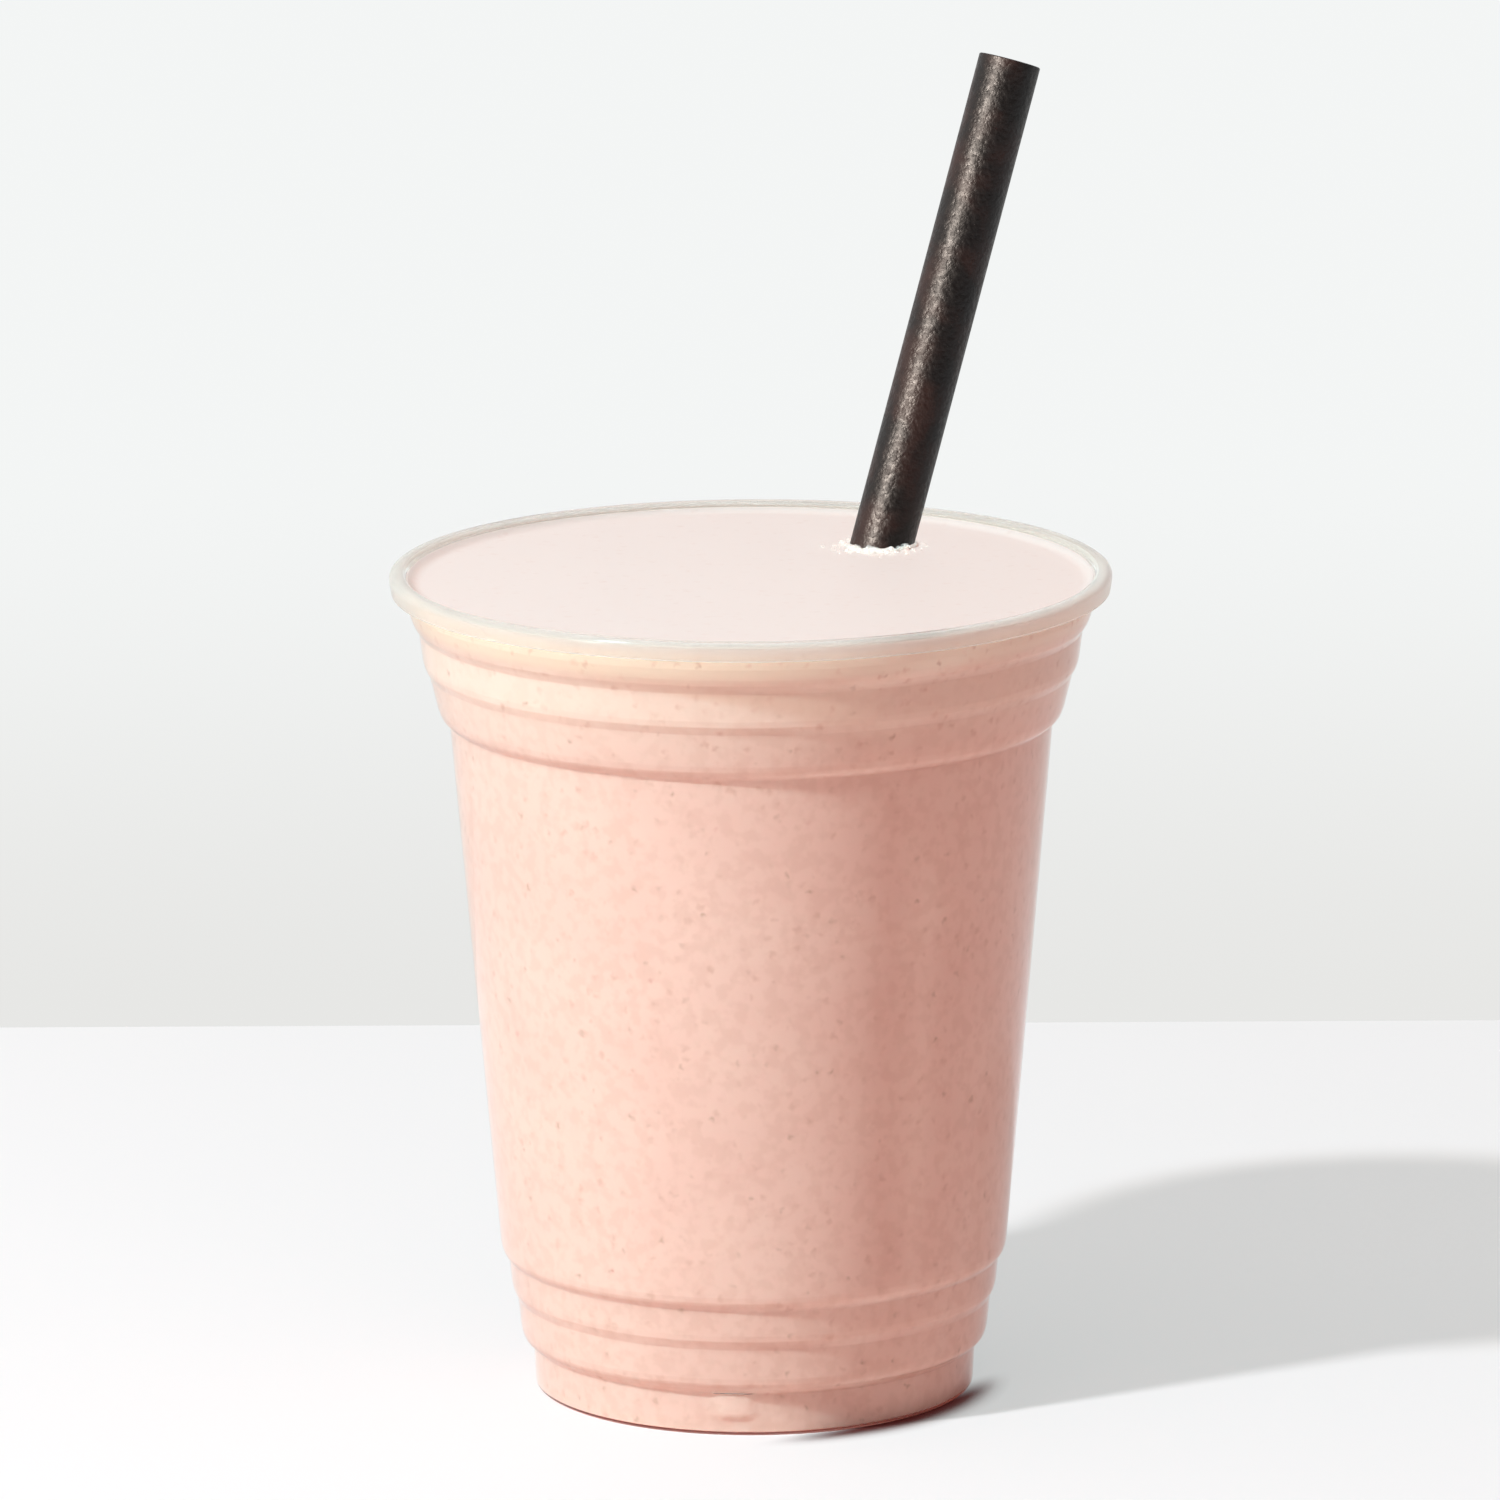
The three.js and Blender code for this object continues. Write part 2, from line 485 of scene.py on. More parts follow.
@dataclass(frozen=True)
class ShakeFinish:
    """The milkshake: creamy, pale pink, soft in the light, with fine fruit specks and paler froth on top.

    Depths are below the surface, in metres, and scales are patches in each metre. The colour turns paler by
    height over the drink's upper part, again in a band just under the surface, and most at the surface.
    """

    pink: Colour = (0.85, 0.512, 0.437)
    pale: Colour = (0.865, 0.536, 0.458)
    upper_pale_colour: Colour = (0.895, 0.665, 0.565)
    top: Colour = (0.86, 0.65, 0.61)
    cloud_scale: float = 60.0
    grain_scale: float = 520.0
    grain_share: float = 0.3
    # Paler colour blended in by height: over the drink's upper part, and again in a band just under the
    # surface.
    paler_upper_depth: float = 20.0 * MM
    paler_upper_fade: float = 0.6
    paler_upper_share: float = 0.4
    pale_band_depth: float = 5.0 * MM
    pale_band_fade: float = 0.65
    top_depth: float = 0.9 * MM
    top_fade: float = 0.3
    specks_inside: float = 0.8
    specks_on_top: float = 0.15
    dimple_scale: float = 300.0
    dimple_strength: float = 0.08
    dimple_depth: float = 0.1 * MM
    roughness: float = 0.6
    ior: float = 1.36
    shine: float = 0.25
    subsurface: float = 0.34
    glow: Colour = (1.0, 0.85, 0.8)
    glow_depth: float = 3.0 * MM

    def build(self, level: float) -> bpy.types.Material:
        """Builds the material.

        Args:
            level: the height of the drink's surface, in metres.

        Returns:
            The finished material.
        """
        material, nodes, shader = new_material("strawberry milkshake")
        place = nodes.place_on_piece()
        clouds = nodes.between(nodes.noise(place, self.cloud_scale, 3.0), 0.35, 0.65)
        colour = nodes.blend(clouds, self.pink, self.pale)
        grain = nodes.between(nodes.noise(place, self.grain_scale, 2.0), 0.42, 0.64, 0.0, self.grain_share)
        colour = nodes.blend(grain, colour, Speck.PULP.value[3])
        apart = nodes.add("ShaderNodeSeparateXYZ")
        nodes.link(place, apart.inputs[0])
        height = apart.outputs["Z"]
        # Paler towards the top: the upper part, then a band under the surface, blended in by height.
        rising = level - self.paler_upper_depth
        risen = rising + self.paler_upper_fade * self.paler_upper_depth
        paler_upper = nodes.between(height, rising, risen, 0.0, self.paler_upper_share)
        colour = nodes.blend(paler_upper, colour, self.upper_pale_colour)
        in_pale_band = nodes.between(height, level - self.pale_band_depth, level - self.pale_band_fade * self.pale_band_depth)
        colour = nodes.blend(in_pale_band, colour, self.upper_pale_colour)
        near_top = nodes.between(height, level - self.top_depth, level - self.top_fade * self.top_depth)
        colour = nodes.blend(near_top, colour, self.top)
        strength = nodes.between(near_top, 0.0, 1.0, self.specks_inside, self.specks_on_top)
        for kind in Speck:
            scale, size, share, tint = kind.value
            mask = scatter(nodes, place, scale, size, share)
            colour = nodes.blend(nodes.times(mask, strength), colour, tint)
        nodes.link(colour, shader.inputs["Base Color"])
        dimples = nodes.noise(place, self.dimple_scale, 0.0)
        bent = nodes.bump(dimples, self.dimple_strength, self.dimple_depth)
        nodes.link(bent, shader.inputs["Normal"])
        shader.inputs["Roughness"].default_value = self.roughness
        shader.inputs["IOR"].default_value = self.ior
        shader.inputs["Specular IOR Level"].default_value = self.shine
        shader.inputs["Subsurface Weight"].default_value = self.subsurface
        shader.inputs["Subsurface Radius"].default_value = self.glow
        shader.inputs["Subsurface Scale"].default_value = self.glow_depth
        return material


@dataclass(frozen=True)
class ClearPlasticFinish:
    """The cup: clear thin plastic, faintly warm, that lets the light through to the drink."""

    name: str = "clear plastic"
    tint: Colour = (0.985, 0.985, 0.97)
    let_through: Colour = (0.985, 0.99, 0.985)
    clear_share: float = 1.0
    ior: float = 1.4
    roughness: float = 0.05
    shine: float = 0.4
    smear_scale: float = 60.0
    wave_strength: float = 0.05
    wave_depth: float = 0.2 * MM

    def build(self) -> bpy.types.Material:
        """Builds the material.

        Returns:
            The finished material.
        """
        material, nodes, shader = new_material(self.name)
        shader.inputs["Metallic"].default_value = 0.0
        shader.inputs["Transmission Weight"].default_value = self.clear_share
        shader.inputs["IOR"].default_value = self.ior
        shader.inputs["Specular IOR Level"].default_value = self.shine
        shader.inputs["Base Color"].default_value = (*self.tint, 1.0)
        waves = nodes.noise(nodes.place_on_piece(), self.smear_scale, 1.0)
        nodes.link(nodes.bump(waves, self.wave_strength, self.wave_depth), shader.inputs["Normal"])
        smears = nodes.between(waves, 0.4, 0.7, self.roughness, 2.0 * self.roughness)
        nodes.link(smears, shader.inputs["Roughness"])
        clear = nodes.add("ShaderNodeBsdfTransparent")
        clear.inputs["Color"].default_value = (*self.let_through, 1.0)
        ray = nodes.add("ShaderNodeLightPath")
        mix = nodes.add("ShaderNodeMixShader")
        nodes.link(ray.outputs["Is Shadow Ray"], mix.inputs[0])
        nodes.link(shader.outputs[0], mix.inputs[1])
        nodes.link(clear.outputs[0], mix.inputs[2])
        nodes.link(mix.outputs[0], material.node_tree.nodes["Material Output"].inputs["Surface"])
        return material


CURLED_LIP = ClearPlasticFinish(
    name="curled lip plastic",
    tint=(0.84, 0.735, 0.685),
    let_through=(0.82, 0.77, 0.72),
    clear_share=0.72,
    ior=1.33,
    roughness=0.12,
    shine=0.35,
)


@dataclass(frozen=True)
class StrawFinish:
    """The straw: black, a little grainy, with a satin shine."""

    black: Colour = (0.003, 0.002, 0.002)
    brown: Colour = (0.012, 0.005, 0.0042)
    patch_scale: float = 160.0
    grain_scale: float = 1500.0
    grain_strength: float = 0.9
    grain_depth: float = 0.16 * MM
    roughness: float = 0.42
    smoother_by: float = 0.06
    rougher_by: float = 0.1
    ior: float = 1.48
    shine: float = 0.32

    def build(self) -> bpy.types.Material:
        """Builds the material.

        Returns:
            The finished material.
        """
        material, nodes, shader = new_material("black straw")
        place = nodes.place_on_piece()
        patches = nodes.between(nodes.noise(place, self.patch_scale, 4.0), 0.4, 0.65)
        nodes.link(nodes.blend(patches, self.black, self.brown), shader.inputs["Base Color"])
        grain = nodes.noise(place, self.grain_scale, 3.0)
        smoothest, roughest = self.roughness - self.smoother_by, self.roughness + self.rougher_by
        nodes.link(nodes.between(grain, 0.3, 0.7, smoothest, roughest), shader.inputs["Roughness"])
        nodes.link(nodes.bump(grain, self.grain_strength, self.grain_depth), shader.inputs["Normal"])
        shader.inputs["IOR"].default_value = self.ior
        shader.inputs["Specular IOR Level"].default_value = self.shine
        return material


@dataclass(frozen=True)
class FrothFinish:
    """Froth where the straw enters the drink: pale and wet."""

    colour: Colour = (0.99, 0.82, 0.77)
    shade: float = 0.72
    fleck_scale: float = 1400.0
    lump_scale: float = 1800.0
    lump_strength: float = 0.4
    lump_depth: float = 0.15 * MM
    roughness: float = 0.55
    subsurface: float = 0.3
    glow: Colour = (1.0, 0.6, 0.5)
    glow_depth: float = 1.0 * MM

    def build(self) -> bpy.types.Material:
        """Builds the material.

        Returns:
            The finished material.
        """
        material, nodes, shader = new_material("froth")
        place = nodes.place_on_piece()
        flecks = nodes.between(nodes.noise(place, self.fleck_scale, 3.0), 0.35, 0.65)
        dark = tuple(self.shade * part for part in self.colour)
        nodes.link(nodes.blend(flecks, dark, self.colour), shader.inputs["Base Color"])
        lumps = nodes.noise(place, self.lump_scale, 2.0)
        nodes.link(nodes.bump(lumps, self.lump_strength, self.lump_depth), shader.inputs["Normal"])
        shader.inputs["Roughness"].default_value = self.roughness
        shader.inputs["Subsurface Weight"].default_value = self.subsurface
        shader.inputs["Subsurface Radius"].default_value = self.glow
        shader.inputs["Subsurface Scale"].default_value = self.glow_depth
        return material


@dataclass(frozen=True)
class BubbleFinish:
    """Small bubbles on the drink: thin, clear and shiny."""

    tint: Colour = (1.0, 0.92, 0.89)
    swirl_scale: float = 2500.0
    smoothest: float = 0.03
    roughest: float = 0.12
    clear_share: float = 0.8
    ior: float = 1.15

    def build(self) -> bpy.types.Material:
        """Builds the material.

        Returns:
            The finished material.
        """
        material, nodes, shader = new_material("bubble skin")
        swirl = nodes.noise(nodes.place_on_piece(), self.swirl_scale, 2.0)
        rough = nodes.between(swirl, 0.3, 0.7, self.smoothest, self.roughest)
        nodes.link(rough, shader.inputs["Roughness"])
        shader.inputs["Base Color"].default_value = (*self.tint, 1.0)
        shader.inputs["Transmission Weight"].default_value = self.clear_share
        shader.inputs["IOR"].default_value = self.ior
        return material


@dataclass
class CupForm:
    """The cup's sizes, in millimetres, measured on the outside of its sheet."""

    height: float = 113.5
    sheet: float = 0.6
    lip_radius: float = 49.06
    lip_drop: float = 2.5
    lip_lean: float = 0.3
    foot_radius: float = 29.95
    foot_ring_width: float = 3.3
    punt_rise: float = 3.4
    punt_slope_width: float = 1.8
    lugs: int = 3
    lug_width: float = 5.4
    lug_azimuth: float = -95.5
    lug_low: float = 1.9
    lug_high: float = 6.8
    lug_radius: float = 30.6
    lug_edge: float = 1.6
    lug_slope: float = 1.2
    step_rounding: float = 0.4
    edge_rounding: float = 1.5
    edge_roll: tuple[tuple[float, float], ...] = ((0.34, 0.08), (0.11, 0.6), (0.0, 1.5))
    foot_rounding: float = 0.7
    lip_rounding: float = 0.9
    bands: list[Band] = field(
        default_factory=lambda: [
            Band(0.0, 29.95, 5.9, 30.25),
            Band(6.8, 31.8, 12.5, 32.4),
            Band(13.1, 33.05, 18.2, 33.55),
            Band(18.8, 34.5, 93.15, 41.0),
            Band(93.65, 42.2, 99.75, 43.7),
            Band(100.25, 44.35, 105.65, 45.05),
            Band(106.15, 45.7, 109.2, 46.6),
            Band(109.9, 46.7, 112.9, 47.0),
        ]
    )

    def outside(self) -> Profile:
        """The sheet's outer side, from the axis under the cup, up the wall and over into the curled lip.

        Returns:
            The profile of the outer side.
        """
        ring = self.foot_radius - self.foot_ring_width
        corners = [
            Corner(0.0, self.punt_rise),
            Corner(ring - self.punt_slope_width, self.punt_rise, self.step_rounding),
            Corner(ring, 0.0, self.foot_rounding),
        ]
        for band in self.bands:
            high = self.lip_rounding if band is self.bands[-1] else self.step_rounding
            if band is self.bands[0]:
                corners.append(Corner(band.low_radius, band.low, self.foot_rounding))
            elif band is self.bands[-1]:
                corners.append(Corner(band.low_radius, band.low, self.step_rounding))
            else:
                corners += self.rolled_edge(band)
            corners.append(Corner(band.high_radius, band.high, high))
        skirt = self.lip_radius - self.sheet
        corners.append(Corner(skirt, self.height - self.sheet, self.lip_rounding))
        corners.append(Corner(skirt - self.lip_lean, self.height - self.lip_drop))
        return Profile(corners)

    def rolled_edge(self, band: Band) -> list[Corner]:
        """The lower edge of a band, which rolls in towards the step under it.

        Args:
            band: the band of the wall.

        Returns:
            The edge's corners, from the step up to the band's face.
        """
        slope = (band.high_radius - band.low_radius) / (band.high - band.low)
        return [
            Corner(band.low_radius + slope * up - back, band.low + up, self.edge_rounding)
            for back, up in self.edge_roll
        ]

    def with_lug_rings(self, line: list[Vector], spacing: float = 0.35) -> list[Vector]:
        """Adds rings where the lugs will be.

        Args:
            line: a profile's points.
            spacing: the most that two rings there are apart, in millimetres.

        Returns:
            The points with the new ones among them.
        """
        below, above, inside = self.lug_low - 2, self.lug_high + 1, self.foot_radius - 2
        finer = [line[0]]
        for here, there in zip(line, line[1:]):
            middle = (here + there) / 2
            beside_lugs = below < middle.y < above and middle.x > inside
            pieces = math.ceil((there - here).length / spacing) if beside_lugs else 1
            finer += [here.lerp(there, i / pieces) for i in range(1, pieces + 1)]
        return finer

    def raise_lugs(self, piece: bpy.types.Object, depth: float) -> None:
        """Presses the stacking lugs a little way out of the foot band, under the step above it.

        Args:
            piece: a turned mesh that follows the cup's wall.
            depth: how far the pressed side lies inside the outside of the wall, in millimetres.
        """
        group = piece.vertex_groups.new(name=f"lugs {depth:.2f}")
        spread = 360 / self.lugs
        half_width = math.degrees(self.lug_width / 2 / self.lug_radius)
        edge = math.degrees(self.lug_edge / self.lug_radius)
        innermost, outermost = self.foot_radius - 0.25, self.lug_radius + 0.05
        lowest, highest = self.lug_low - 0.6, self.lug_high + depth
        for vertex in piece.data.vertices:
            radius, height = vertex.co.xy.length / MM, vertex.co.z / MM
            if not (innermost < radius + depth < outermost and lowest < height < highest):
                continue
            azimuth = math.degrees(math.atan2(vertex.co.y, vertex.co.x)) - self.lug_azimuth
            off = abs((azimuth + spread / 2) % spread - spread / 2)
            across = min(1.0, max(0.0, (half_width - depth / 2 - off) / edge + 0.5))
            along = min(1.0, max(0.0, (height - self.lug_low) / self.lug_slope))
            share = across * along
            if share > 0:
                group.add([vertex.index], share * share * (3 - 2 * share), "REPLACE")
        activate(piece)
        bpy.ops.object.modifier_add(type="CAST")
        press = piece.modifiers[-1]
        press.cast_type = "CYLINDER"
        press.use_z = False
        press.use_radius_as_size = False
        press.size = (self.lug_radius - depth) * MM
        press.factor = 1.0
        press.vertex_group = group.name
        bpy.ops.object.modifier_apply(modifier=press.name)


@dataclass
class ClearCup:
    """The clear cup, drawn as one closed sheet. Its curled lip has a cloudier plastic."""

    form: CupForm
    rounding_steps: int = 4
    lip_margin: float = 0.1

    def model(self) -> bpy.types.Object:
        """Models the cup.

        Returns:
            The cup's mesh.
        """
        outside = self.form.outside()
        inside = outside.beside(self.form.sheet)
        line = outside.points(self.rounding_steps) + inside.points(self.rounding_steps)[::-1]
        piece = Turning("clear_cup").model(self.form.with_lug_rings(line))
        self.form.raise_lugs(piece, 0.0)
        self.form.raise_lugs(piece, self.form.sheet)
        return piece

    def dress(self, piece: bpy.types.Object, finish: ClearPlasticFinish) -> None:
        """Gives the cup its two materials and its place in the frame.

        Args:
            piece: the cup's mesh.
            finish: how it looks but for the lip.
        """
        piece.data.materials.append(finish.build())
        piece.data.materials.append(CURLED_LIP.build())
        lowest = (self.form.height - self.form.lip_drop - self.lip_margin) * MM
        innermost = (self.form.bands[-1].high_radius + self.lip_margin) * MM
        for face in piece.data.polygons:
            if face.center.z > lowest and face.center.xy.length > innermost:
                face.material_index = 1
        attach(piece, "root")
        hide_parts("cup")


@dataclass
class Milkshake:
    """The drink, which fills the cup and reaches just into its wall."""

    form: CupForm
    level: float = 112.0
    into_wall: float = 0.08
    rounding_steps: int = 4
    top_rings: int = 30
    climb: float = 0.75
    climb_width: float = 1.9
    climb_steps: int = 6
    ripple: float = 0.12
    ripple_size: float = 16.0

    def model(self) -> bpy.types.Object:
        """Models the drink, with a gently uneven surface.

        Returns:
            The drink's mesh.
        """
        wet = self.form.outside().beside(self.form.sheet - self.into_wall)
        neck = self.form.bands[-1]
        slope = (neck.high_radius - neck.low_radius) / (neck.high - neck.low)
        corners = wet.corners[:-3]
        rim = corners[-1].radius + slope * (self.level - corners[-1].height)
        edge = rim + slope * self.climb
        line = Profile([*corners, Corner(edge, self.level + self.climb)]).points(self.rounding_steps)
        for step in range(1, self.climb_steps + 1):
            out = 1 - step / self.climb_steps
            line.append(Vector((rim - self.climb_width * (1 - out), self.level + self.climb * out**3)))
        calm = rim - self.climb_width
        for ring in range(1, self.top_rings):
            line.append(Vector((calm * (1 - ring / self.top_rings), self.level)))
        piece = Turning("milkshake_drink").model(self.form.with_lug_rings(line))
        self.form.raise_lugs(piece, self.form.sheet - self.into_wall)
        self._ripple(piece, rim)
        return piece

    def _ripple(self, piece: bpy.types.Object, rim: float) -> None:
        """Makes the surface gently uneven, and calm at the wall.

        Args:
            piece: the drink's mesh.
            rim: the surface's radius, in millimetres.
        """
        surface = piece.vertex_groups.new(name="surface")
        for vertex in piece.data.vertices:
            if vertex.co.z > self.level * MM - TINY:
                reach = min(1.0, vertex.co.xy.length / (rim * MM))
                surface.add([vertex.index], max(0.0, 1 - reach**6), "REPLACE")
        activate(piece)
        clouds = bpy.data.textures.new("slow ripples", "CLOUDS")
        clouds.noise_scale = self.ripple_size * MM
        bpy.ops.object.modifier_add(type="DISPLACE")
        ripples = piece.modifiers[-1]
        ripples.texture = clouds
        ripples.direction = "Z"
        ripples.strength = 2 * self.ripple * MM
        ripples.mid_level = 0.5
        ripples.vertex_group = surface.name
        bpy.ops.object.modifier_apply(modifier=ripples.name)

    def dress(self, piece: bpy.types.Object, finish: ShakeFinish) -> None:
        """Gives the drink its material and its place in the frame.

        Args:
            piece: the drink's mesh.
            finish: how it looks.
        """
        piece.data.materials.append(finish.build(self.level * MM))
        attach(piece, "root")
        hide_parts("milkshake")


@dataclass
class Straw:
    """The wide straw, which leans to the right and back. Sizes in millimetres, angles in degrees."""

    radius: float = 4.3
    wall: float = 0.45
    entry: tuple[float, float, float] = (18.0, 22.9, 112.0)
    tilt: float = 19.2
    azimuth: float = 37.6
    shown: float = 68.8
    floor: float = 4.3
    soft_edge: float = 0.12
    segments: int = 64

    @property
    def direction(self) -> Vector:
        """The straw's lean as a direction of length 1."""
        tilt, azimuth = math.radians(self.tilt), math.radians(self.azimuth)
        return Vector(
            (math.sin(tilt) * math.cos(azimuth), math.sin(tilt) * math.sin(azimuth), math.cos(tilt))
        )

    @property
    def foot(self) -> Vector:
        """The centre of the straw's lower end, just clear of the cup's floor.

        Returns:
            The place, in millimetres.
        """
        height = self.floor + self.radius * math.sin(math.radians(self.tilt))
        entry = Vector(self.entry)
        return entry + self.direction * ((height - entry.z) / self.direction.z)

    def model(self) -> bpy.types.Object:
        """Models the tube upright, with softened ends, and lays it along its lean.

        Returns:
            The straw's mesh.
        """
        length = (Vector(self.entry) - self.foot).length + self.shown
        inner = self.radius - self.wall
        soft = self.soft_edge
        outline = [
            Vector((inner, soft)),
            Vector((inner + soft, 0.0)),
            Vector((self.radius - soft, 0.0)),
            Vector((self.radius, soft)),
            Vector((self.radius, length - soft)),
            Vector((self.radius - soft, length)),
            Vector((inner + soft, length)),
            Vector((inner, length - soft)),
            Vector((inner, soft)),
        ]
        piece = Turning("black_straw", self.segments).model(outline, joined=True)
        piece.matrix_world = Matrix.Translation(self.foot * MM) @ self._lean()
        apply_place(piece)
        return piece

    def _lean(self) -> Matrix:
        """The turn that lays the upright tube along the lean."""
        return Vector((0, 0, 1)).rotation_difference(self.direction).to_matrix().to_4x4()

    def dress(self, piece: bpy.types.Object, finish: StrawFinish) -> None:
        """Gives the straw its material and its place in the frame.

        It keeps no lamp's light or glow from the drink, because the photograph's straw leaves no shade there.

        Args:
            piece: the straw's mesh.
            finish: how it looks.
        """
        piece.data.materials.append(finish.build())
        piece.visible_shadow = False
        piece.visible_diffuse = False
        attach(piece, "root")
        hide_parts("straw")


@dataclass
class Froth:
    """The froth collar and the bubbles round the straw, where it enters the drink.

    Sizes in millimetres, angles in degrees. A gap is how far a bubble lies from the straw.
    """

    straw: Straw
    level: float
    collar_width: float = 0.6
    collar_height: float = 0.45
    lump_size: float = 1.3
    lump_height: float = 0.7
    bubbles: int = 130
    azimuth: float = 252.0
    azimuth_spread: float = 34.0
    least_gap: float = 0.1
    usual_gap: float = 0.4
    gap_spread: float = 1.7
    near_gap: float = 2.0
    smallest: float = 0.16
    largest: float = 0.55
    far_share: float = 0.6
    seed: int = 7

    def collar(self) -> bpy.types.Object:
        """Models the low uneven collar that clings to the straw.

        Returns:
            The collar's mesh.
        """
        stretch = 1 / math.cos(math.radians(self.straw.tilt))
        deselect_everything()
        bpy.ops.mesh.primitive_torus_add(
            major_segments=96,
            minor_segments=16,
            major_radius=self.straw.radius * MM,
            minor_radius=self.collar_width * MM,
        )
        piece = bpy.context.object
        piece.name = piece.data.name = "froth_collar"
        piece.scale = (stretch, 1.0, self.collar_height / self.collar_width)
        piece.rotation_euler.z = math.radians(self.straw.azimuth)
        piece.location = Vector(self.straw.entry) * MM
        apply_place(piece)
        clouds = bpy.data.textures.new("froth lumps", "CLOUDS")
        clouds.noise_scale = self.lump_size * MM
        bpy.ops.object.modifier_add(type="DISPLACE")
        lumps = piece.modifiers[-1]
        lumps.texture = clouds
        lumps.strength = self.lump_height * MM
        lumps.mid_level = 0.55
        bpy.ops.object.modifier_apply(modifier=lumps.name)
        bpy.ops.object.shade_smooth()
        return piece

    def bubble_cluster(self) -> bpy.types.Object:
        """Models the bubbles, most of them in front of the straw.

        Returns:
            One mesh of all the bubbles.
        """
        draw = random.Random(self.seed)
        deselect_everything()
        bpy.ops.mesh.primitive_ico_sphere_add(subdivisions=3, radius=1.0)
        pattern = bpy.context.object
        bpy.ops.object.shade_smooth()
        made = []
        for _ in range(self.bubbles):
            angle = math.radians(draw.gauss(self.azimuth, self.azimuth_spread))
            away = self.straw.radius + abs(draw.gauss(self.usual_gap, self.gap_spread)) + self.least_gap
            share = 1.0 if away < self.straw.radius + self.near_gap else self.far_share
            size = draw.uniform(self.smallest, self.largest) * share
            copy = pattern.copy()
            copy.data = pattern.data.copy()
            bpy.context.collection.objects.link(copy)
            copy.scale = (size * MM,) * 3
            x = self.straw.entry[0] + away * math.cos(angle)
            y = self.straw.entry[1] + away * math.sin(angle)
            near = max(0.0, 1 - (away - self.straw.radius) / self.collar_width)
            copy.location = Vector((x, y, self.level + 0.35 * size + near * 0.7 * self.collar_height)) * MM
            made.append(copy)
        bpy.data.objects.remove(pattern)
        cluster = join(made, "froth_bubbles")
        apply_place(cluster)
        return cluster

    def dress(self, collar: bpy.types.Object, cluster: bpy.types.Object) -> None:
        """Gives the froth its materials and its place in the frame.

        Args:
            collar: the collar's mesh.
            cluster: the bubbles' mesh.
        """
        collar.data.materials.append(FrothFinish().build())
        cluster.data.materials.append(BubbleFinish().build())
        cluster.visible_shadow = False
        for piece in (collar, cluster):
            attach(piece, "root")


